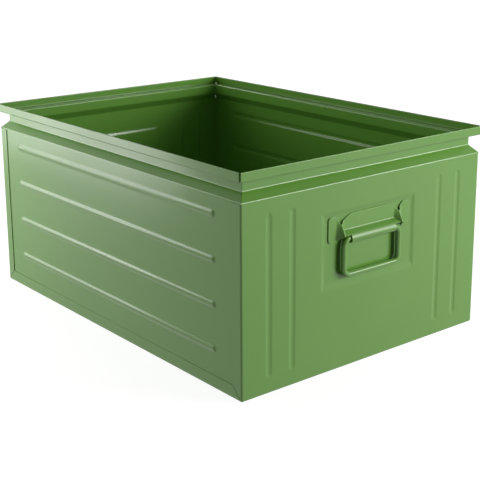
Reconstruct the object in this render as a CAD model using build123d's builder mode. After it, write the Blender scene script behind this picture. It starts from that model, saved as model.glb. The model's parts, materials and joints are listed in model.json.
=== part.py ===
from build123d import *
from math import asin, atan2, cos, degrees, hypot, radians, sin, sqrt, tan
import os

os.makedirs("parts", exist_ok=True)

# Open-topped stacking box of painted sheet steel with a drop handle on each end.
# Frame: origin at the centre of the underside, +X along the length, +Z up, millimetres.

# Overall size, over the rim
LENGTH = 630.0
WIDTH = 450.0
HEIGHT = 300.0

# Sheet, bends and the open seams between folded sheets
SHEET = 1.0
BEND = 2.5
RIM_BEND = 1.6
SEAM = 0.2

# Walls: the lip stands out past them, and the side walls lie inside the shell's flanges
LIP_REACH = 2.5
END_FACE = LENGTH / 2 - LIP_REACH
FLANGE_FACE = WIDTH / 2 - LIP_REACH
SIDE_FACE = FLANGE_FACE - SHEET

# Stacking rim, from the top of the wall: shoulder, neck, ledge and hemmed lip
WALL_TOP = 261.0
NECK_FOOT = 272.0
LEDGE_TOP = 288.0
LEDGE_UNDER = LEDGE_TOP - SHEET
NECK_INSET = 13.5
LIP_THICK = 2.0
SIDE_LIP_HALF = 311.5
END_LIP_HALF = 223.5

# Flanges of the shell, lapped over the outside of the side walls
FLANGE_WIDTH = 18.0
FLANGE_TOP = 259.0
SLIT_WIDTH = 0.8

# Horizontal beads pressed outwards in each side wall
BEAD_WIDTH = 12.0
BEAD_DEPTH = 2.0
BEAD_TAPER = 40.0
SIDE_BEAD_LENGTH = 520.0
SIDE_BEAD_HEIGHTS = [55.0, 115.5, 176.0, 236.5]

# Upright beads, and the field that carries the handle, pressed inwards in each end wall
END_BEAD_PLACES = [-177.5, -138.0, 138.0, 177.5]
END_BEAD_BOTTOM = 22.0
END_BEAD_TOP = 242.0
FIELD_WIDTH = 178.0
FIELD_BOTTOM = 113.0
FIELD_TOP = 224.0
FIELD_DEPTH = 1.5
FIELD_TAPER = 45.0
FIELD_CORNER = 8.0

# Bail: a ring of round bar that hangs from the bracket's roll
BAR = 8.0
BAIL_WIDTH = 103.5
BAIL_DROP = 50.0
BAIL_CORNER = 10.0
BAIL_AXIS_HEIGHT = 183.5
BAIL_GAP = 0.4

# Bracket: a stamped plate whose lower edge is rolled round the bail
PLATE = 1.5
BAR_PLAY = 0.5
PLATE_TOP = 215.5
PLATE_BOTTOM = 180.0
RAMP_TOP = 196.0
HOOD_BOTTOM = 188.5
HOOD_HALF = 55.0
TAB_OUTER = 76.0
NOTCH_BOTTOM = 207.0
LOBE_RADIUS = 5.0
NOTCH_WIDTH = 3.0
ROLL_END_ANGLE = -105.0

FIELD_FACE = END_FACE - FIELD_DEPTH
AXIS_OUT = PLATE + BAIL_GAP + BAR / 2
ROLL_INNER = BAR / 2 + BAR_PLAY
ROLL_HALF = BAIL_WIDTH / 2 - BAIL_CORNER


def wall_profile(wall_face, lip_face, foot):
    """Sheet section of a wall with its rim and the hemmed lip, as (distance outwards, height)."""
    neck = lip_face - NECK_INSET
    with BuildSketch() as profile:
        with BuildLine():
            FilletPolyline(
                (wall_face, foot),
                (wall_face, WALL_TOP),
                (neck, NECK_FOOT),
                (neck, LEDGE_UNDER),
                (lip_face, LEDGE_UNDER),
                (lip_face, HEIGHT),
                radius=RIM_BEND,
            )
            offset(amount=SHEET, side=Side.LEFT)
        make_face()
        with Locations((lip_face, HEIGHT)):
            Rectangle(LIP_THICK, HEIGHT - LEDGE_TOP, align=(Align.MAX, Align.MAX))
    return profile.sketch


def bead(length, width, plane):
    """One round-ended pressed bead, tapering away from the given plane along its normal."""
    with BuildPart() as pressed:
        with BuildSketch(plane):
            SlotOverall(length, width)
        extrude(amount=BEAD_DEPTH, taper=BEAD_TAPER)
    return pressed.part


def bead_inner(size):
    """The far face's bead is narrower than the near face's, which keeps the sheet's thickness."""
    return size - 2 * SHEET * (1 / cos(radians(BEAD_TAPER)) - tan(radians(BEAD_TAPER)))


def make_end_wall(side):
    """Top of one end wall above the flanges, with its rim, trimmed on the corners' 45 degree planes."""
    with BuildPart() as end:
        with BuildSketch(Plane.XZ.offset(WIDTH / 2)):
            add(wall_profile(END_FACE, LENGTH / 2, FLANGE_TOP))
        extrude(amount=-WIDTH)
        for y_side in (-1, 1):
            corner = Plane(origin=(LENGTH / 2 + SEAM, y_side * WIDTH / 2, 0), z_dir=(-1, y_side, 0))
            split(bisect_by=corner, keep=Keep.BOTTOM)
            with Locations((LENGTH / 2, y_side * END_LIP_HALF, LEDGE_UNDER)):
                Box(LIP_REACH * 2, LIP_REACH * 2, HEIGHT,
                    align=(Align.CENTER, Align.MIN if y_side > 0 else Align.MAX, Align.MIN),
                    mode=Mode.SUBTRACT)
        if side < 0:
            mirror(about=Plane.YZ, mode=Mode.REPLACE)
    return end.part


def make_side_wall(side):
    """One side wall in a sheet of its own, with its rim and its pressed beads."""
    with BuildPart() as wall:
        with BuildSketch(Plane.YZ.offset(-LENGTH / 2)):
            add(wall_profile(SIDE_FACE, WIDTH / 2, BEND))
        extrude(amount=LENGTH)
        for x_side in (-1, 1):
            corner = Plane(origin=(x_side * LENGTH / 2, WIDTH / 2 + SEAM, 0), z_dir=(x_side, -1, 0))
            split(bisect_by=corner, keep=Keep.BOTTOM)
            with Locations((x_side * SIDE_LIP_HALF, WIDTH / 2, LEDGE_UNDER)):
                Box(LIP_REACH * 2, LIP_REACH * 2, HEIGHT,
                    align=(Align.MIN if x_side > 0 else Align.MAX, Align.CENTER, Align.MIN),
                    mode=Mode.SUBTRACT)
            # short of the shell's rounded upright corners
            with Locations((x_side * (END_FACE - BEND), SIDE_FACE, 0)):
                Box(BEND * 2, BEND * 2, FLANGE_TOP,
                    align=(Align.MIN if x_side > 0 else Align.MAX, Align.CENTER, Align.MIN),
                    mode=Mode.SUBTRACT)
        for height in SIDE_BEAD_HEIGHTS:
            outside = Plane(origin=(0, SIDE_FACE, height), x_dir=(1, 0, 0), z_dir=(0, 1, 0))
            inside = outside.offset(-SHEET)
            add(bead(SIDE_BEAD_LENGTH, BEAD_WIDTH, outside))
            length = bead_inner(SIDE_BEAD_LENGTH)
            add(bead(length, bead_inner(BEAD_WIDTH), inside), mode=Mode.SUBTRACT)
        if side < 0:
            mirror(about=Plane.XZ, mode=Mode.REPLACE)
    return wall.part


# The shell: both end walls and the base in one U-shaped sheet, flanged along its sides
with BuildPart() as shell:
    with BuildSketch():
        Rectangle(2 * END_FACE, 2 * FLANGE_FACE)
    extrude(amount=FLANGE_TOP)
    uprights = shell.edges().filter_by(Axis.Z)
    bottom_edges = shell.faces().sort_by(Axis.Z)[0].edges()
    fillet(uprights + bottom_edges, radius=BEND)
    with BuildSketch(Plane.XY.offset(SHEET)):
        RectangleRounded(2 * (END_FACE - SHEET), 2 * SIDE_FACE, BEND - SHEET)
    extrude(amount=HEIGHT, mode=Mode.SUBTRACT)
    base_inside = shell.faces().filter_by(Axis.Z).group_by(Axis.Z)[1]
    fillet(base_inside.edges(), radius=BEND - SHEET)
    with BuildSketch(Plane.XZ):
        with Locations((0, FLANGE_WIDTH)):
            Rectangle(2 * (END_FACE - FLANGE_WIDTH), HEIGHT, align=(Align.CENTER, Align.MIN))
    extrude(amount=WIDTH / 2, both=True, mode=Mode.SUBTRACT)
    # 45 degree slits where the upright flanges meet the bottom ones
    with BuildSketch(Plane.XZ):
        for side in (-1, 1):
            slit_end = FLANGE_WIDTH + SLIT_WIDTH
            middle = (slit_end + BEND) / 2
            with Locations(Location((side * (END_FACE - middle), middle), -side * 45)):
                Rectangle((slit_end - BEND) * sqrt(2), SLIT_WIDTH)
    extrude(amount=WIDTH / 2, both=True, mode=Mode.SUBTRACT)
    for side in (-1, 1):
        add(make_end_wall(side))
        for place in END_BEAD_PLACES:
            middle = (side * END_FACE, place, (END_BEAD_TOP + END_BEAD_BOTTOM) / 2)
            outside = Plane(origin=middle, x_dir=(0, 0, 1), z_dir=(-side, 0, 0))
            length = END_BEAD_TOP - END_BEAD_BOTTOM
            add(bead(length, BEAD_WIDTH, outside.offset(SHEET)))
            add(bead(bead_inner(length), bead_inner(BEAD_WIDTH), outside), mode=Mode.SUBTRACT)
        # the field is a shallow step of the whole sheet
        field = (side * END_FACE, 0, (FIELD_TOP + FIELD_BOTTOM) / 2)
        outside = Plane(origin=field, x_dir=(0, side, 0), z_dir=(-side, 0, 0))
        with BuildSketch(outside.offset(SHEET)):
            RectangleRounded(FIELD_WIDTH, FIELD_TOP - FIELD_BOTTOM, FIELD_CORNER)
        extrude(amount=FIELD_DEPTH, taper=FIELD_TAPER)
        with BuildSketch(outside):
            RectangleRounded(FIELD_WIDTH, FIELD_TOP - FIELD_BOTTOM, FIELD_CORNER)
        extrude(amount=FIELD_DEPTH, taper=FIELD_TAPER, mode=Mode.SUBTRACT)
shell.part.label = "end_and_base_shell"
export_step(shell.part, "parts/end_and_base_shell.step")

for name, side in {"front_side_wall": -1, "rear_side_wall": 1}.items():
    side_wall = make_side_wall(side)
    side_wall.label = name
    export_step(side_wall, f"parts/{name}.step")


def make_bracket(side):
    """Handle bracket on one end wall: a three-lobed plate, two cheeks, a ramp and the roll."""
    # the ramp's outer face leaves the plate's front and runs tangent into the roll
    rise = RAMP_TOP - BAIL_AXIS_HEIGHT
    reach = AXIS_OUT - PLATE
    ramp_angle = degrees(atan2(reach, rise) + asin((ROLL_INNER + PLATE) / hypot(reach, rise)))
    out = (cos(radians(ramp_angle)), sin(radians(ramp_angle)))
    outer = (AXIS_OUT + (ROLL_INNER + PLATE) * out[0], BAIL_AXIS_HEIGHT + (ROLL_INNER + PLATE) * out[1])
    inner = (AXIS_OUT + ROLL_INNER * out[0], BAIL_AXIS_HEIGHT + ROLL_INNER * out[1])
    inner_top = inner[1] + inner[0] * out[0] / out[1]
    section = Plane(origin=(FIELD_FACE, 0, 0), x_dir=(1, 0, 0), z_dir=(0, -1, 0))
    face = Plane(origin=(FIELD_FACE, 0, 0), x_dir=(0, 1, 0), z_dir=(1, 0, 0))
    with BuildPart() as bracket:
        # plate: a rounded strip with a notch each side of its centre lobe, open below the ramp
        with BuildSketch(face):
            with Locations((0, (PLATE_TOP + PLATE_BOTTOM) / 2)):
                RectangleRounded(2 * TAB_OUTER, PLATE_TOP - PLATE_BOTTOM, LOBE_RADIUS)
            with Locations((0, RAMP_TOP)):
                Rectangle(2 * (HOOD_HALF - PLATE), PLATE_TOP, align=(Align.CENTER, Align.MAX),
                          mode=Mode.SUBTRACT)
            for y_side in (-1, 1):
                with Locations((y_side * (HOOD_HALF - PLATE / 2), NOTCH_BOTTOM)):
                    Rectangle(NOTCH_WIDTH, PLATE_TOP, align=(Align.CENTER, Align.MIN),
                              mode=Mode.SUBTRACT)
        extrude(amount=PLATE)
        # ramp, running on into the two short hoods over the bail's corners
        with BuildSketch(section):
            with BuildLine():
                Polyline((0, RAMP_TOP), (PLATE, RAMP_TOP), outer, inner, (0, inner_top), close=True)
            make_face()
        extrude(amount=HOOD_HALF, both=True)
        for y_side in (-1, 1):
            with Locations((FIELD_FACE, y_side * ROLL_HALF, HOOD_BOTTOM)):
                Box(BAIL_DROP, HOOD_HALF, BAIL_DROP,
                    align=(Align.CENTER, Align.MIN if y_side > 0 else Align.MAX, Align.MAX),
                    mode=Mode.SUBTRACT)
        # roll: an open tube round the bail's top bar
        with BuildSketch(section):
            with BuildLine():
                centre = (AXIS_OUT, BAIL_AXIS_HEIGHT)
                turn = ROLL_END_ANGLE - ramp_angle
                over = CenterArc(centre, ROLL_INNER + PLATE, ramp_angle, turn)
                under = CenterArc(centre, ROLL_INNER, ramp_angle, turn)
                Line(over @ 0, under @ 0)
                Line(over @ 1, under @ 1)
            make_face()
        extrude(amount=ROLL_HALF, both=True)
        # cheeks that close the hood's ends
        for y_side in (-1, 1):
            with BuildSketch(section.offset(y_side * HOOD_HALF)):
                with BuildLine():
                    Polyline(
                        (0, NOTCH_BOTTOM - PLATE),
                        (PLATE, NOTCH_BOTTOM - PLATE),
                        (outer[0] - PLATE / 2, HOOD_BOTTOM),
                        (0, HOOD_BOTTOM),
                        close=True,
                    )
                make_face()
            extrude(amount=-y_side * PLATE)
        if side < 0:
            mirror(about=Plane.YZ, mode=Mode.REPLACE)
    return bracket.part


def make_bail(side):
    """Drop handle: round bar bent into a closed ring, hanging straight down from the roll."""
    middle = (side * (FIELD_FACE + AXIS_OUT), 0, BAIL_AXIS_HEIGHT - BAIL_DROP / 2)
    ring = Plane(origin=middle, x_dir=(0, 1, 0), z_dir=(1, 0, 0))
    with BuildSketch(ring) as outline:
        RectangleRounded(BAIL_WIDTH, BAIL_DROP, BAIL_CORNER)
    path = outline.sketch.face().outer_wire()
    with BuildPart() as bail:
        with BuildSketch(Plane(origin=path @ 0, z_dir=path % 0)):
            Circle(BAR / 2)
        sweep(path=path)
    return bail.part


for name, side in {"right": 1, "left": -1}.items():
    bracket = make_bracket(side)
    bracket.label = f"{name}_handle_bracket"
    export_step(bracket, f"parts/{bracket.label}.step")
    bail = make_bail(side)
    bail.label = f"{name}_bail_handle"
    export_step(bail, f"parts/{bail.label}.step")
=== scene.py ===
import json
import math

import bmesh
import bpy
import numpy as np
from mathutils import Matrix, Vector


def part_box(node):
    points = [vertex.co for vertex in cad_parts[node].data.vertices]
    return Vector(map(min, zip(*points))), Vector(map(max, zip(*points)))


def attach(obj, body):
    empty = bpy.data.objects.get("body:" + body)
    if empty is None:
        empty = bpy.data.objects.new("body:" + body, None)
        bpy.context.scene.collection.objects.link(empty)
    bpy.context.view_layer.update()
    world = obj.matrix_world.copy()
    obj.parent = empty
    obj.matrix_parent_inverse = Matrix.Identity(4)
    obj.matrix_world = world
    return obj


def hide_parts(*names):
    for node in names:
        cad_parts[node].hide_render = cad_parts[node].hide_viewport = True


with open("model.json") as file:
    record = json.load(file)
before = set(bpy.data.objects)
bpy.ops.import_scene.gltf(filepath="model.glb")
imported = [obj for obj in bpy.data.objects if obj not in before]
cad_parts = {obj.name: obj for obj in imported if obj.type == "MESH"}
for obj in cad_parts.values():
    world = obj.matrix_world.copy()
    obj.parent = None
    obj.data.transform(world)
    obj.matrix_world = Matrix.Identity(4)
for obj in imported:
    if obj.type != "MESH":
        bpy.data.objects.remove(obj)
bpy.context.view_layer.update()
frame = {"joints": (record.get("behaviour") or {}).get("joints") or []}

# ------------------------------------------------------------------ Shell: both end walls and the base
# One U-shaped sheet of 1 mm cold-rolled steel, folded on a press brake. Its edges are turned in as 18 mm
# flanges over the side walls, and each end wall runs up into the stacking rim: shoulder, neck, ledge, lip.
# Lengths are in millimetres up to the moment a mesh is made.

MM = 0.001
SHEET = 1.0

# the frame's boxes give the outer faces of the lips, half the end lip's length and the top of the rim
END_LIP, END_LIP_HALF, TOP = np.array(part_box("end_and_base_shell")[1]) / MM
SIDE_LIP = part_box("rear_side_wall")[1][1] / MM
LIP_REACH = 2.5
END_FACE = END_LIP - LIP_REACH
FLANGE_FACE = SIDE_LIP - LIP_REACH

# rim, measured down from the lip's top and in from its outer face
WALL_TOP = TOP - 39.0
NECK_FOOT = TOP - 28.0
LEDGE_UNDER = TOP - 13.0
NECK_INSET = 13.5
HEM_FOOT = TOP - 11.4
HEM_RADIUS = 1.05
WALL_BEND = 3.0
LEDGE_BEND = 1.5
LIP_BEND = 2.0
BEND_STEPS = 8
GUARD = 0.3

# the 45 degree seam at each corner of the rim: half its width outside and inside, and the relief at its foot
SEAM_HALF = 0.25
SEAM_ROOT = 0.01
RELIEF = 0.5
RELIEF_RISE = 2.0
RELIEF_SPAN = 1.6

# the flanges round the side walls, and half the slit between two of them at the foot
CORNER_BEND = 2.5
FLANGE_WIDTH = 18.0
FLANGE_TOP = 259.0
SLIT = 0.57
BASE_HALF = END_FACE - CORNER_BEND
FLAT_HALF = FLANGE_FACE - CORNER_BEND

# pressed into the end walls: two upright beads each side, and a shallow field behind the handle
END_BEADS = (138.0, 177.5)
END_BEAD_FOOT = 22.0
END_BEAD_HEAD = 242.0
END_BEAD_WIDTH = 12.0
END_BEAD_DEPTH = 0.9
BEAD_SLOPE = 5.0
FIELD_HALF = 89.0
FIELD_FOOT = 113.0
FIELD_HEAD = 224.0
FIELD_DEPTH = 1.5
FIELD_SLOPE = 8.0
FIELD_FOOT_SLOPE = 15.0


def stops(*spans):
    """Places along one direction of a grid: each span (start, end, step) is divided evenly, then all join."""
    cuts = [np.linspace(start, end, max(2, round(abs(end - start) / step) + 1)) for start, end, step in spans]
    return np.unique(np.round(np.concatenate(cuts), 6))


def to_right(way):
    """A direction (outwards, up) turned a quarter to the right."""
    return np.stack([way[..., 1], -way[..., 0]], -1)


def rounded_path(corners, radii):
    """Straight runs joined by tangent arcs, as points and the unit normals on the right-hand side.

    Along an arc the direction turns evenly from one run's to the next one's, and the point is the arc's
    centre plus the radius times the normal, or minus it where the path turns right. A guard point close to
    both ends of each run keeps the flat between two bends evenly shaded.
    """
    corners = np.array(corners, float)
    ways = np.diff(corners, axis=0)
    ways /= np.linalg.norm(ways, axis=1)[:, None]
    points, normals = [corners[:1]], [to_right(ways[:1])]
    for corner, radius, before, after in zip(corners[1:-1], radii, ways[:-1], ways[1:]):
        turn = np.arctan2(before[0] * after[1] - before[1] * after[0], before @ after)
        bend = np.sign(turn) * radius
        start = corner - before * radius * np.tan(abs(turn) / 2)
        angle = np.linspace(0, turn, BEND_STEPS + 1)[:, None]
        way = before * np.cos(angle) - to_right(before) * np.sin(angle)
        arc = start - bend * to_right(before) + bend * to_right(way)
        points += [arc[:1] - before * GUARD, arc, arc[-1:] + after * GUARD]
        normals += [to_right(before)[None], to_right(way), to_right(after)[None]]
    points.append(corners[-1:])
    normals.append(to_right(ways[-1:]))
    return np.concatenate(points), np.concatenate(normals)


def rim_profile(wall_face, lip_face, wall_rows):
    """A wall's section from its foot to the folded hem: (distance outwards, height) and outward normals."""
    neck = lip_face - NECK_INSET
    hem = lip_face - 2 * HEM_RADIUS
    corners = [
        (wall_face, wall_rows[-1]),
        (wall_face, WALL_TOP),
        (neck, NECK_FOOT),
        (neck, LEDGE_UNDER),
        (lip_face, LEDGE_UNDER),
        (lip_face, TOP),
        (hem, TOP),
        (hem, HEM_FOOT),
    ]
    radii = [WALL_BEND, WALL_BEND, LEDGE_BEND, LIP_BEND, HEM_RADIUS, HEM_RADIUS]
    points, normals = rounded_path(corners, radii)
    wall = np.stack([np.full(len(wall_rows) - 1, wall_face), wall_rows[:-1]], -1)
    flat = np.tile([1.0, 0.0], (len(wall), 1))
    return np.concatenate([wall, points]), np.concatenate([flat, normals])


def soft_step(share):
    """0 below 0, 1 above 1 and a smooth cubic between."""
    share = np.clip(share, 0, 1)
    return share * share * (3 - 2 * share)


def bead_height(along, across, half_length, width):
    """A pressed bead's height, 0 to 1: half-round ends, and a smooth slope from its edge up to a flat top."""
    past_end = np.maximum(np.abs(along) - (half_length - width / 2), 0)
    return soft_step((width / 2 - np.hypot(past_end, across)) / BEAD_SLOPE)


def end_pressing(y, z):
    """How far the end wall is pressed inwards at (y, z): two upright beads a side, and the handle's field."""
    middle = (END_BEAD_HEAD + END_BEAD_FOOT) / 2
    half = END_BEAD_HEAD - middle
    beads = sum(bead_height(z - middle, np.abs(y) - place, half, END_BEAD_WIDTH) for place in END_BEADS)
    inside = np.minimum(FIELD_HALF - np.abs(y), FIELD_HEAD - z) / FIELD_SLOPE
    field = soft_step(np.minimum(inside, (z - FIELD_FOOT) / FIELD_FOOT_SLOPE))
    return END_BEAD_DEPTH * beads + FIELD_DEPTH * field


# the grid of an end wall is fine across the slopes of the beads and of the field, and coarse on the flat
END_BEAD_REACH = END_BEAD_WIDTH / 2 + 1
near_end_beads = [(place - END_BEAD_REACH, place + END_BEAD_REACH, 1.0) for place in END_BEADS]
end_half = stops(
    (0, 80, 20), (FIELD_HALF - FIELD_SLOPE, FIELD_HALF + 2, 1.0), (92, 130, 12), *near_end_beads,
    (186, 210, 12), (FLAT_HALF - GUARD, FLAT_HALF, GUARD),
)
end_columns = np.concatenate([-end_half[:0:-1], end_half]) / FLAT_HALF
end_rows = stops(
    (CORNER_BEND, CORNER_BEND + GUARD, GUARD), (10, 20, 5), (END_BEAD_FOOT - 1, END_BEAD_FOOT + 8, 1.0),
    (40, 105, 13), (FIELD_FOOT - 2, FIELD_FOOT + FIELD_FOOT_SLOPE + 3, 1.5),
    (135, 210, 13), (FIELD_HEAD - FIELD_SLOPE, FIELD_HEAD + 2, 1.0),
    (230, 234, 2), (END_BEAD_HEAD - 8, END_BEAD_HEAD + 1, 1.0), (250, FLANGE_TOP, 4.5),
    (FLANGE_TOP, FLANGE_TOP + GUARD, GUARD),
)
end_path, end_normals = rim_profile(END_FACE, END_LIP, end_rows)
bend_angles = np.radians(np.linspace(0, 90, BEND_STEPS + 1))
base_places = stops(
    (-BASE_HALF, BASE_HALF, 62),
    (-BASE_HALF, GUARD - BASE_HALF, GUARD),
    (BASE_HALF - GUARD, BASE_HALF, GUARD),
)
flange_shares = np.array([0.02, 0.5, 1.0])


def mitre_cut(height, depth):
    """Half the seam's width at that height and depth below the outer face.

    The seam is a groove that narrows to nothing at the inner face. Where the wall bends over, a small
    bell-shaped relief is added through the whole sheet.
    """
    groove = SEAM_ROOT + (SEAM_HALF - SEAM_ROOT) * (1 - depth / SHEET)
    return groove + RELIEF * np.exp(-(((height - WALL_TOP - RELIEF_RISE) / RELIEF_SPAN) ** 2))


def end_wall(side, depth):
    """Flat wall and rim at one end: the profile carried along Y, cut at the rim's corners on 45 degrees."""
    out, up = (end_path - depth * end_normals).T
    mitre = out - (END_FACE - FLANGE_FACE) - mitre_cut(end_path[:, 1], depth)
    rim_half = np.where(end_path[:, 1] > HEM_FOOT - GUARD, END_LIP_HALF, np.minimum(mitre, END_LIP_HALF))
    half = np.where(end_path[:, 1] <= FLANGE_TOP, FLAT_HALF, rim_half)
    y = end_columns * half[:, None]
    z = np.broadcast_to(up[:, None], y.shape)
    x = out[:, None] - end_pressing(y, end_path[:, 1:])
    return np.stack([side * x, y, z], -1)


def end_flange(side, edge, depth):
    """Upright bend and flange: a quarter turn about a vertical line, then flat, foot cut at 45 degrees."""
    radius = CORNER_BEND - depth
    run = (FLANGE_WIDTH - CORNER_BEND) * flange_shares
    x = np.concatenate([radius * np.cos(bend_angles), -run]) + BASE_HALF
    y = np.concatenate([radius * np.sin(bend_angles), np.full(len(run), radius)]) + FLAT_HALF
    foot = np.concatenate([0 * bend_angles, run + SLIT])
    rows = end_rows[end_rows <= FLANGE_TOP]
    share = (rows - CORNER_BEND)[:, None] / (FLANGE_TOP - CORNER_BEND)
    z = CORNER_BEND + foot + share * (FLANGE_TOP - CORNER_BEND - foot)
    return np.stack(np.broadcast_arrays(side * x, edge * y, z), -1)


def bottom_bend(side, depth):
    """Bend from the base up into an end wall: a quarter turn about a line along Y."""
    radius = CORNER_BEND - depth
    x = (BASE_HALF + radius * np.sin(bend_angles))[:, None]
    z = (CORNER_BEND - radius * np.cos(bend_angles))[:, None]
    return np.stack(np.broadcast_arrays(side * x, end_columns * FLAT_HALF, z), -1)


def bottom_corner(side, edge, depth):
    """Drawn corner of the base: an eighth of a ball, with its pole in the plane of the flanges."""
    radius = CORNER_BEND - depth
    rise, swing = bend_angles[:, None], bend_angles[None, :]
    x = BASE_HALF + radius * np.sin(rise) * np.cos(swing)
    y = FLAT_HALF + radius * np.sin(swing)
    z = CORNER_BEND - radius * np.cos(rise) * np.cos(swing)
    return np.stack(np.broadcast_arrays(side * x, edge * y, z), -1)


def base_flange(edge, depth):
    """Bend and flange along one long side of the base, its ends cut at 45 degrees."""
    radius = CORNER_BEND - depth
    run = (FLANGE_WIDTH - CORNER_BEND) * flange_shares
    y = np.concatenate([radius * np.sin(bend_angles), np.full(len(run), radius)]) + FLAT_HALF
    z = CORNER_BEND + np.concatenate([-radius * np.cos(bend_angles), run])
    end = BASE_HALF - np.concatenate([0 * bend_angles, run + SLIT])
    x = base_places[:, None] / BASE_HALF * end
    return np.stack(np.broadcast_arrays(x, edge * y, z), -1)


def base_flat(depth):
    """Flat of the base."""
    x, y = np.meshgrid(base_places, end_columns * FLAT_HALF, indexing="ij")
    return np.stack([x, y, np.full(x.shape, depth)], -1)


def shell_patches(depth):
    """All patches of the shell at that depth below the outer face, in an order that never changes."""
    patches = [base_flat(depth)] + [base_flange(edge, depth) for edge in (-1, 1)]
    for side in (-1, 1):
        patches += [end_wall(side, depth), bottom_bend(side, depth)]
        for edge in (-1, 1):
            patches += [end_flange(side, edge, depth), bottom_corner(side, edge, depth)]
    return patches


def grid_quads(rows, columns, first=0):
    """Four-sided faces of a rows by columns grid whose points are numbered row by row from first."""
    corner = first + np.arange(rows * columns).reshape(rows, columns)
    quads = np.stack([corner[:-1, :-1], corner[:-1, 1:], corner[1:, 1:], corner[1:, :-1]], -1)
    return quads.reshape(-1, 4)


# an edge that turns by more degrees than this is shaded as a sharp fold
FOLD_ANGLE = 32


def finish_mesh(name, points, faces):
    """An object at the origin from points in millimetres and faces, facing outwards, smooth but for folds."""
    mesh = bpy.data.meshes.new(name)
    mesh.from_pydata((points * MM).tolist(), [], faces)
    work = bmesh.new()
    work.from_mesh(mesh)
    bmesh.ops.recalc_face_normals(work, faces=work.faces)
    work.to_mesh(mesh)
    work.free()
    mesh.shade_smooth()
    mesh.set_sharp_from_angle(angle=math.radians(FOLD_ANGLE))
    piece = bpy.data.objects.new(name, mesh)
    bpy.context.scene.collection.objects.link(piece)
    return piece


# points in one cell of this size are made one, and the shift keeps round sizes off the cells' limits
SAME_POINT = 0.01
CELL_SHIFT = 0.37


def sheet_piece(name, outer, inner):
    """A closed sheet from grids on its outer face and the matching grids on its inner face.

    Points of the outer grids that meet are made one, and their inner partners with them. A quad that has
    closed to a point at one side is a triangle. Each edge that only one outer face uses is a cut edge of the
    sheet, and a quad joins it to its inner partner.
    """
    quads, first = [], 0
    for patch in outer:
        quads.append(grid_quads(*patch.shape[:2], first))
        first += patch.shape[0] * patch.shape[1]
    quads = np.concatenate(quads)
    outer, inner = (np.concatenate([patch.reshape(-1, 3) for patch in face]) for face in (outer, inner))
    cells = np.floor(outer / SAME_POINT + CELL_SHIFT)
    _, kept, same = np.unique(cells, axis=0, return_index=True, return_inverse=True)
    outer, inner, quads = outer[kept], inner[kept], same.reshape(-1)[quads]
    shut = quads == np.roll(quads, -1, axis=1)
    whole = quads[~shut.any(1)]
    closed = quads[shut.sum(1) == 1]
    slots = np.argmax(closed == np.roll(closed, -1, axis=1), axis=1)[:, None]
    triangles = np.take_along_axis(closed, (slots + np.arange(1, 4)) % 4, axis=1)
    edges = [np.stack([face, np.roll(face, -1, axis=1)], -1).reshape(-1, 2) for face in (whole, triangles)]
    edges = np.concatenate(edges)
    _, places, uses = np.unique(np.sort(edges, 1), axis=0, return_index=True, return_counts=True)
    cut = edges[places[uses == 1]]
    lower = len(outer)
    rim = np.stack([cut[:, 1], cut[:, 0], cut[:, 0] + lower, cut[:, 1] + lower], -1)
    faces = [*whole.tolist(), *triangles.tolist(), *(whole[:, ::-1] + lower).tolist()]
    faces += [*(triangles[:, ::-1] + lower).tolist(), *rim.tolist()]
    return finish_mesh(name, np.concatenate([outer, inner]), faces)


def linear(hex_colour):
    """sRGB hex, such as "7FA45C", as linear red, green, blue and alpha."""
    srgb = np.array([int(hex_colour[i:i + 2], 16) for i in (0, 2, 4)]) / 255
    rgb = np.where(srgb <= 0.04045, srgb / 12.92, ((srgb + 0.055) / 1.055) ** 2.4)
    return (*rgb.tolist(), 1.0)


def add_node(tree, kind, links=(), values=(), **settings):
    """Adds one node. links are (input, output of another node), values are (input, number or colour)."""
    node = tree.nodes.new(kind)
    for key, value in settings.items():
        setattr(node, key, value)
    for key, value in values:
        node.inputs[key].default_value = value
    for key, output in links:
        tree.links.new(output, node.inputs[key])
    return node


def powder_coat(name, colour, thin_colour, gloss):
    """Polyester powder coat, sprayed on and baked at about 180 degrees, in an even semi-gloss.

    The melt flows into a fine orange peel with a wavelength of 2 to 3 mm, drawn very low and at 4 mm so that
    it shows. The film's thickness wanders by a few percent over a hand's width, 120 mm, which moves the
    colour and the roughness a little round the given gloss.
    """
    peel_size, film_size = 4 * MM, 120 * MM
    gloss_change = 0.03
    material = bpy.data.materials.new(name)
    material.use_nodes = True
    tree = material.node_tree
    tree.nodes.clear()
    place = add_node(tree, "ShaderNodeTexCoord").outputs["Object"]
    film = add_node(tree, "ShaderNodeTexNoise", [("Vector", place)],
                    [("Scale", 1 / film_size), ("Detail", 3.0), ("Roughness", 0.5)])
    colour_mix = add_node(tree, "ShaderNodeValToRGB", [("Fac", film.outputs["Fac"])])
    colour_mix.color_ramp.elements[0].position = 0.3
    colour_mix.color_ramp.elements[0].color = linear(thin_colour)
    colour_mix.color_ramp.elements[1].position = 0.7
    colour_mix.color_ramp.elements[1].color = linear(colour)
    roughness = add_node(
        tree, "ShaderNodeMapRange", [("Value", film.outputs["Fac"])],
        [("From Min", 0.3), ("From Max", 0.7),
         ("To Min", gloss + gloss_change), ("To Max", gloss - gloss_change)],
    )
    peel = add_node(tree, "ShaderNodeTexNoise", [("Vector", place)],
                    [("Scale", 1 / peel_size), ("Detail", 2.0), ("Roughness", 0.4)])
    bump = add_node(tree, "ShaderNodeBump", [("Height", peel.outputs["Fac"])],
                    [("Strength", 0.03), ("Distance", 0.1 * MM)])
    shader = add_node(
        tree, "ShaderNodeBsdfPrincipled",
        [("Base Color", colour_mix.outputs["Color"]), ("Roughness", roughness.outputs["Result"]),
         ("Normal", bump.outputs["Normal"])],
        [("IOR", 1.5)],
    )
    add_node(tree, "ShaderNodeOutputMaterial", [("Surface", shader.outputs["BSDF"])])
    return material


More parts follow.
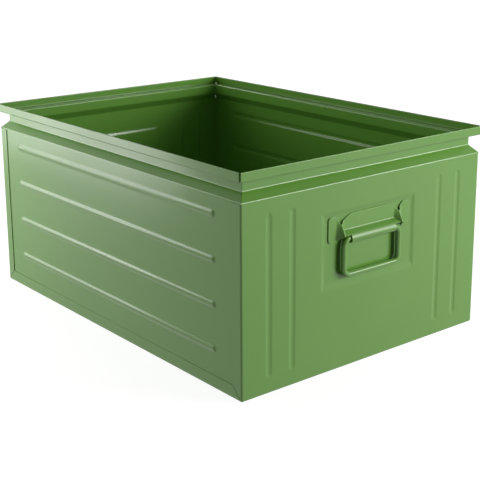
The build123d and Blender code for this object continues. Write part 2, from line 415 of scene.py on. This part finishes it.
# on the wide sheets the coat is at its smoothest, and beads and bends show as narrow lines of light
PAINT = "6A9E40"
THIN_PAINT = "679A3E"
sheet_paint = powder_coat("green_powder_coat_on_sheet", PAINT, THIN_PAINT, 0.21)

shell = sheet_piece("shell_of_end_walls_and_base", shell_patches(0.0), shell_patches(SHEET))
shell.data.materials.append(sheet_paint)
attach(shell, "box")
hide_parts("end_and_base_shell")

# ------------------------------------------------------------------ Side walls
# Each long side is a sheet of its own, spot-welded behind the shell's flanges. Four flat beads are pressed
# outwards to stiffen it, and its rim meets the end walls' rim on a 45 degree seam.

SIDE_FACE = FLANGE_FACE - SHEET
SIDE_LIP_HALF = END_LIP - 2.8
SIDE_BEADS = (55.0, 115.5, 176.0, 236.5)
SIDE_BEAD_HALF = 260.0
SIDE_BEAD_WIDTH = 12.0
SIDE_BEAD_RISE = 1.7

SIDE_BEAD_REACH = SIDE_BEAD_WIDTH / 2 + 1
near_side_beads = [(height - SIDE_BEAD_REACH, height + SIDE_BEAD_REACH, 0.7) for height in SIDE_BEADS]
side_rows = stops(
    (CORNER_BEND, 46, 8), *near_side_beads, (250, FLANGE_TOP, 4.5), (FLANGE_TOP, FLANGE_TOP + GUARD, GUARD),
)
side_half = stops(
    (0, 250, 25), (SIDE_BEAD_HALF - 10, SIDE_BEAD_HALF + 4, 1.0), (268, 300, 8), (300, BASE_HALF, 5),
)
side_columns = np.concatenate([-side_half[:0:-1], side_half]) / BASE_HALF
side_path, side_normals = rim_profile(SIDE_FACE, SIDE_LIP, side_rows)


def side_wall(side, depth):
    """One side wall: the profile carried along X, beads raised, cut at the rim's corners on 45 degrees."""
    out, up = (side_path - depth * side_normals).T
    mitre = out + (END_FACE - FLANGE_FACE) - mitre_cut(side_path[:, 1], depth)
    rim_half = np.where(side_path[:, 1] > HEM_FOOT - GUARD, SIDE_LIP_HALF, np.minimum(mitre, SIDE_LIP_HALF))
    half = np.where(side_path[:, 1] <= FLANGE_TOP, BASE_HALF, rim_half)
    x = side_columns * half[:, None]
    height = side_path[:, 1:]
    raised = sum(bead_height(x, height - place, SIDE_BEAD_HALF, SIDE_BEAD_WIDTH) for place in SIDE_BEADS)
    y = out[:, None] + SIDE_BEAD_RISE * raised
    return np.stack([x, side * y, np.broadcast_to(up[:, None], x.shape)], -1)


for side, name in ((-1, "front"), (1, "rear")):
    wall = sheet_piece(name + "_wall_sheet", [side_wall(side, 0.0)], [side_wall(side, SHEET)])
    wall.data.materials.append(sheet_paint)
    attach(wall, "box")
    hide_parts(name + "_side_wall")

# ------------------------------------------------------------------ Handle brackets
# A stamping of 1.5 mm steel, spot-welded to the pressed field. Its lower middle is folded out as a ramp and
# rolled round the bail. Two ridges run down from small relief holes and carry the load into the outer lobes.

PLATE = 1.5
FIELD_FACE = END_FACE - FIELD_DEPTH

# outline: a centre lobe and two end lobes, with a notch and a round relief between them. A shoulder with a
# higher power is fuller.
CENTRE_FLAT = 33.0
CENTRE_SHOULDER = 1.6
LOBE_TOP = 215.5
LOBE_FOOT = 180.0
LOBE_START = 67.0
LOBE_END = 76.0
LOBE_ROUND = 5.0
LOBE_SHOULDER = 2.4
RELIEF_RADIUS = 1.65
RELIEF_HEIGHT = 206.0
HOOD_EDGE = 188.5
HOOD_FALL_END = 182.5
HOOD_CUT = 0.3
LOBE_STEP = 2.5

# the ridges, and how softly their crests and the eased outer edge are rounded over
RIDGE = 54.5
RIDGE_TOP = 211.0
RIDGE_INNER_FOOT = 46.8
RIDGE_OUTER_FOOT = 61.5
RIDGE_SLOPE = 0.52
CREST_BLEND = 0.3
VALLEY_BLEND = 0.4
EDGE_EASE = 0.3
EASE_WIDTH = 0.6

# section of the hood: out of the plate, down the ramp, round the bar's front and back under it. It runs
# downwards, so its right-hand normals point inwards.
HOOD_START = 204.0
RAMP_HEAD = 194.3
ROLL_HEAD = 188.4
ROLL_UNDER = 177.5
ROLL_FRONT = 11.9
ROLL_BACK = 4.2
ROLL_HALF = 41.75
RAMP_BEND, ROLL_BEND, UNDER_BEND = 3.0, 10.5, 4.5
hood_corners = [
    (PLATE, HOOD_START),
    (PLATE, RAMP_HEAD),
    (ROLL_FRONT, ROLL_HEAD),
    (ROLL_FRONT, ROLL_UNDER),
    (ROLL_BACK, ROLL_UNDER),
]
hood_path, hood_inward = rounded_path(hood_corners, [RAMP_BEND, ROLL_BEND, UNDER_BEND])

# the ramp's grid ends one step into the roll's bend: past the first corner, a whole bend, a guard and a start
RAMP_FOOT_ROW = 1 + (BEND_STEPS + 3) + 2
RAMP_FOOT = hood_path[RAMP_FOOT_ROW, 1]


def bracket_top(y):
    """Height of the plate's upper edge: a centre lobe, a notch with a half-round relief, an end lobe."""
    y = np.abs(y)
    relief = RELIEF_HEIGHT - np.sqrt(np.maximum(RELIEF_RADIUS**2 - (y - RIDGE) ** 2, 0))
    rise = LOBE_TOP - RELIEF_HEIGHT
    inner = np.clip((y - CENTRE_FLAT) / (RIDGE - RELIEF_RADIUS - CENTRE_FLAT), 0, 1)
    outer = np.clip((LOBE_START - y) / (LOBE_START - RIDGE - RELIEF_RADIUS), 0, 1)
    top = RELIEF_HEIGHT + rise * np.where(y < RIDGE, 1 - inner**CENTRE_SHOULDER, 1 - outer**LOBE_SHOULDER)
    top = np.where(np.abs(y - RIDGE) < RELIEF_RADIUS, relief, top)
    past = np.clip(y - (LOBE_END - LOBE_ROUND), 0, LOBE_ROUND)
    return top - (LOBE_ROUND - np.sqrt(LOBE_ROUND**2 - past**2))


def bracket_foot(y):
    """Height of the plate's lower edge: the ramp's foot, the hood's edge falling away, then the end lobe."""
    y = np.abs(y)
    foot = np.interp(
        y,
        [ROLL_HALF, ROLL_HALF + HOOD_CUT, RIDGE, RIDGE_OUTER_FOOT, RIDGE_OUTER_FOOT + LOBE_STEP],
        [RAMP_FOOT, HOOD_EDGE, HOOD_EDGE, HOOD_FALL_END, LOBE_FOOT],
    )
    past = np.clip(y - (LOBE_END - LOBE_ROUND), 0, LOBE_ROUND)
    return foot + LOBE_ROUND - np.sqrt(LOBE_ROUND**2 - past**2)


def soft_max(one, other, blend):
    """The larger of two heights, with the crease between them rounded over about the blend length."""
    return (one + other + np.sqrt((one - other) ** 2 + blend**2)) / 2


def bracket_front(y, z):
    """Height of the front face above the field: flat, or the ramp, or a ridge's tent, whichever is highest.

    Where the ramp meets the tent, the rounded maximum lifts both by half its blend, which is taken off again.
    """
    across = np.abs(y)
    ramp = np.interp(-z, -hood_path[:, 1], hood_path[:, 0]) - PLATE
    crest = np.maximum(RIDGE_TOP - z, 0) * RIDGE_SLOPE
    inner = (across - RIDGE_INNER_FOOT) / (RIDGE - RIDGE_INNER_FOOT)
    outer = (RIDGE_OUTER_FOOT - across) / (RIDGE_OUTER_FOOT - RIDGE)
    tent = -crest * soft_max(-inner, -outer, CREST_BLEND)
    lift = VALLEY_BLEND / 2 * np.exp(-np.abs(ramp - tent))
    raised = np.where(across <= RIDGE, soft_max(ramp, tent, VALLEY_BLEND) - lift, tent)
    to_edge = np.minimum(bracket_top(y) - z, LOBE_END - across)
    to_foot = np.where(across > RIDGE_OUTER_FOOT + LOBE_STEP, z - bracket_foot(y), EASE_WIDTH)
    ease = 1 - np.clip(np.minimum(to_edge, to_foot) / EASE_WIDTH, 0, 1)
    return PLATE - EDGE_EASE * ease**2 + np.clip(raised, 0, ROLL_FRONT - PLATE)


def below_surface(grid, thickness):
    """A grid moved inwards by a thickness, along normals from the cross product of its two directions."""
    down, across = np.gradient(grid, axis=0), np.gradient(grid, axis=1)
    normal = np.cross(down, across)
    normal /= np.linalg.norm(normal, axis=-1)[..., None]
    return grid - thickness * normal


lobe_arc = LOBE_END - LOBE_ROUND * (1 - np.sin(np.radians(np.linspace(0, 88, 9))))
bracket_half = np.unique(np.round(np.concatenate([
    stops((0, 30, 6), (CENTRE_FLAT, ROLL_HALF, 1.75), (ROLL_HALF + HOOD_CUT, 52, 0.9)),
    stops((57.5, 66, 0.7), (66, LOBE_END - LOBE_ROUND, 1.0)),
    RIDGE + RELIEF_RADIUS * np.sin(np.radians(np.linspace(-90, 90, 13))),
    lobe_arc,
]), 6))
bracket_columns = np.concatenate([-bracket_half[:0:-1], bracket_half])
share_down = stops((0, 0.04, 0.01), (0.06, 0.96, 0.02), (0.97, 1, 0.01))[:, None]


def bracket_patches():
    """Front face of the plate, ramp and ridges, and the roll, with the matching back faces."""
    y = np.broadcast_to(bracket_columns, (len(share_down), len(bracket_columns)))
    z = bracket_top(y) + (bracket_foot(y) - bracket_top(y)) * share_down
    plate = np.stack([FIELD_FACE + bracket_front(y, z), y, z], -1)
    y = bracket_columns[np.abs(bracket_columns) <= ROLL_HALF]
    rolled = []
    for depth in (0.0, PLATE):
        out, up = (hood_path + depth * hood_inward)[RAMP_FOOT_ROW:].T[:, :, None]
        rolled.append(np.stack(np.broadcast_arrays(FIELD_FACE + out, y, up), -1))
    plate[-1, np.abs(bracket_columns) <= ROLL_HALF] = rolled[0][0]
    return [plate, rolled[0]], [below_surface(plate, PLATE), rolled[1]]


# the stamping is duller than the sheet, so its folds show as wide, weak highlights
bracket_paint = powder_coat("green_powder_coat_on_stamping", PAINT, THIN_PAINT, 0.36)

for side, name in ((1, "right"), (-1, "left")):
    turned = np.array([side, 1.0, 1.0])
    outer, inner = ([patch * turned for patch in face] for face in bracket_patches())
    bracket = sheet_piece(name + "_bracket_stamping", outer, inner)
    bracket.data.materials.append(bracket_paint)
    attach(bracket, "box")
    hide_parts(name + "_handle_bracket")

# ------------------------------------------------------------------ Bails
# Each drop handle is 8 mm round bar bent into a ring whose ends meet inside the bracket's roll. It hangs
# from the roll and swings out to lift.

BAR_RADIUS = 4.0
BAIL_HALF = 51.75
BAIL_DROP = 50.0
BAIL_ROUND = 10.0
BAR_SIDES = 24


def bail_ring():
    """A round bar carried along a rectangle with rounded corners, in the plane of the hanging ring.

    The centre line is four quarter turns, each about its own corner's centre, joined by straight runs. Round
    the bar, the surface leaves the centre line by the radius, shared between the ring's own outward direction
    and X by the cosine and sine of the angle.
    """
    turns = []
    for quarter, (y_side, z_side) in enumerate(((1, 1), (-1, 1), (-1, -1), (1, -1))):
        angle = np.radians(np.linspace(0, 90, 13) + 90 * quarter)
        outward = np.stack([np.cos(angle), np.sin(angle)], -1)
        centre = np.array([y_side * (BAIL_HALF - BAIL_ROUND), z_side * (BAIL_DROP / 2 - BAIL_ROUND)])
        turns.append(np.stack([centre + BAIL_ROUND * outward, outward], 1))
    line, outward = np.concatenate(turns).transpose(1, 0, 2)
    line, outward = (np.concatenate([row, row[:1]]) for row in (line, outward))
    round_bar = np.radians(np.linspace(0, 360, BAR_SIDES + 1))
    across = line[:, None] + BAR_RADIUS * np.cos(round_bar)[None, :, None] * outward[:, None]
    x = np.broadcast_to(BAR_RADIUS * np.sin(round_bar), across.shape[:2])
    return np.stack([x, across[..., 0], across[..., 1]], -1)


def closed_piece(name, grid):
    """A piece from one grid whose first and last rows and columns are the same points."""
    rows, columns = grid.shape[0] - 1, grid.shape[1] - 1
    number = np.arange(rows * columns).reshape(rows, columns)
    beside, below = np.roll(number, -1, axis=1), np.roll(number, -1, axis=0)
    faces = np.stack([number, beside, np.roll(beside, -1, axis=0), below], -1).reshape(-1, 4)
    return finish_mesh(name, grid[:-1, :-1].reshape(-1, 3), faces.tolist())


# on the round bar the coat draws one soft line of light along each run
bail_paint = powder_coat("green_powder_coat_on_round_bar", PAINT, THIN_PAINT, 0.27)

for side, name in ((1, "right"), (-1, "left")):
    pivot = next(joint for joint in frame["joints"] if joint["name"] == name + "_bail_swing")["pos_m"]
    middle = np.array(pivot) / MM - (0, 0, BAIL_DROP / 2)
    bail = closed_piece(name + "_bail_bar", bail_ring() + middle)
    bail.data.materials.append(bail_paint)
    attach(bail, name + "_bail")
    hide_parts(name + "_bail_handle")

# ------------------------------------------------------------------ Floor, light and camera
# A white acrylic table lit from below, a large soft box at the right, three smaller ones at the left, and a
# room with bright walls and a dark ceiling. The camera sees only white behind the box.


def lit_surface(name, colour, glow):
    """Plain matt surface, lit evenly from behind with white light."""
    material = bpy.data.materials.new(name)
    material.use_nodes = True
    shader = material.node_tree.nodes["Principled BSDF"]
    shader.inputs["Base Color"].default_value = linear(colour)
    shader.inputs["Roughness"].default_value = 0.7
    shader.inputs["Emission Color"].default_value = linear("FFFFFF")
    shader.inputs["Emission Strength"].default_value = glow
    return material


FLOOR_HALF = 6000.0
FLOOR_GAP = 0.3
corners = np.array([[-1, -1], [1, -1], [1, 1], [-1, 1]]) * FLOOR_HALF
floor = finish_mesh("floor", np.column_stack([corners, np.full(4, -FLOOR_GAP)]), [[0, 1, 2, 3]])
floor.data.materials.append(lit_surface("white_acrylic_table", "8C8C8A", 0.88))
# the table shows in the paint's reflections, but its glow doesn't light the walls
floor.visible_diffuse = False

# the room's brightness at the level line, on its walls and overhead. The walls reach from 1 to 24 degrees up
# and the ceiling starts at 44 degrees, given as sines.
GLOW_LEVEL, GLOW_WALLS, GLOW_CEILING = 0.3, 1.0, 0.2
WALL_FOOT, WALL_HEAD, CEILING_EDGE = 0.02, 0.4, 0.7
# the share of it behind the box and on the camera's side, and where the change starts and ends between them
SHARE_BEHIND, SHARE_IN_FRONT = 1.25, 0.15
CHANGE_START, CHANGE_END = -0.1, 0.7
CAMERA_SIDE = (0.78, -0.62, 0.0)

world = bpy.data.worlds.new("studio")
bpy.context.scene.world = world
world.use_nodes = True
sky = world.node_tree
sky.nodes.clear()
way = add_node(sky, "ShaderNodeTexCoord").outputs["Generated"]
height = add_node(sky, "ShaderNodeSeparateXYZ", [("Vector", way)]).outputs["Z"]
glow = add_node(sky, "ShaderNodeValToRGB", [("Fac", height)])
glow.color_ramp.elements[1].position = CEILING_EDGE
for at in (WALL_FOOT, WALL_HEAD):
    glow.color_ramp.elements.new(at)
for stop, level in zip(glow.color_ramp.elements, (GLOW_LEVEL, GLOW_WALLS, GLOW_WALLS, GLOW_CEILING)):
    stop.color = (level, level, level, 1.0)
toward = add_node(sky, "ShaderNodeVectorMath", [(0, way)], [(1, CAMERA_SIDE)], operation="DOT_PRODUCT")
share = add_node(
    sky, "ShaderNodeMapRange", [("Value", toward.outputs["Value"])],
    [("From Min", CHANGE_START), ("From Max", CHANGE_END),
     ("To Min", SHARE_BEHIND), ("To Max", SHARE_IN_FRONT)],
)
room = add_node(
    sky, "ShaderNodeBackground", [("Color", glow.outputs["Color"]), ("Strength", share.outputs["Result"])],
)
ray = add_node(sky, "ShaderNodeLightPath")
backdrop = add_node(sky, "ShaderNodeBackground", values=[("Color", linear("FFFFFF")), ("Strength", 1.0)])
shown = add_node(sky, "ShaderNodeMixShader", [
    (0, ray.outputs["Is Camera Ray"]), (1, room.outputs[0]), (2, backdrop.outputs[0])])
add_node(sky, "ShaderNodeOutputWorld", [("Surface", shown.outputs[0])])


def soft_box(name, place, target, width, height, power):
    """A soft box as a rectangle of light that faces its target. Lengths are in metres, power in watts."""
    light = bpy.data.lights.new(name, "AREA")
    light.shape = "RECTANGLE"
    light.size, light.size_y, light.energy = width, height, power
    lamp = bpy.data.objects.new(name, light)
    aim = np.array(target, float) - place
    lamp.location = place
    lamp.rotation_euler = (math.acos(-aim[2] / np.linalg.norm(aim)), 0, math.atan2(-aim[0], aim[1]))
    lamp.visible_camera = False
    bpy.context.scene.collection.objects.link(lamp)


soft_box("right_box", (1.5, 1.0, 0.6), (0.3, 0, 0.15), 0.9, 0.6, 21)
soft_box("high_box", (-1.65, 0.05, 1.45), (0, 0.1, 0.3), 0.25, 0.25, 3)
soft_box("left_box", (-0.95, -0.7, 0.165), (-0.95, 0, 0.165), 0.9, 0.3, 3.2)
soft_box("left_fill", (-0.66, -0.66, 0.4), (-0.3, -0.225, 0.15), 0.5, 0.3, 1.9)

# a lens of 82 mm, shifted by an eighth of the sensor so that the box's uprights lean less
LENS = 82.1
VIEW_SHIFT = -0.125
VIEW_PLACE = (1.3049, -1.0215, 0.6087)
DOWN, HEADING, ROLL = (math.radians(angle) for angle in (14.01, 51.19, -0.33))

camera = bpy.data.cameras.new("camera")
camera.sensor_width = 36.0
camera.lens = LENS
camera.shift_y = VIEW_SHIFT
camera.clip_start, camera.clip_end = 0.05, 50.0
view = bpy.data.objects.new("camera", camera)
view.matrix_world = (
    Matrix.Translation(VIEW_PLACE) @ Matrix.Rotation(HEADING, 4, "Z")
    @ Matrix.Rotation(math.radians(90) - DOWN, 4, "X") @ Matrix.Rotation(ROLL, 4, "Z")
)
bpy.context.scene.collection.objects.link(view)
bpy.context.scene.camera = view
bpy.context.scene.view_settings.view_transform = "Standard"
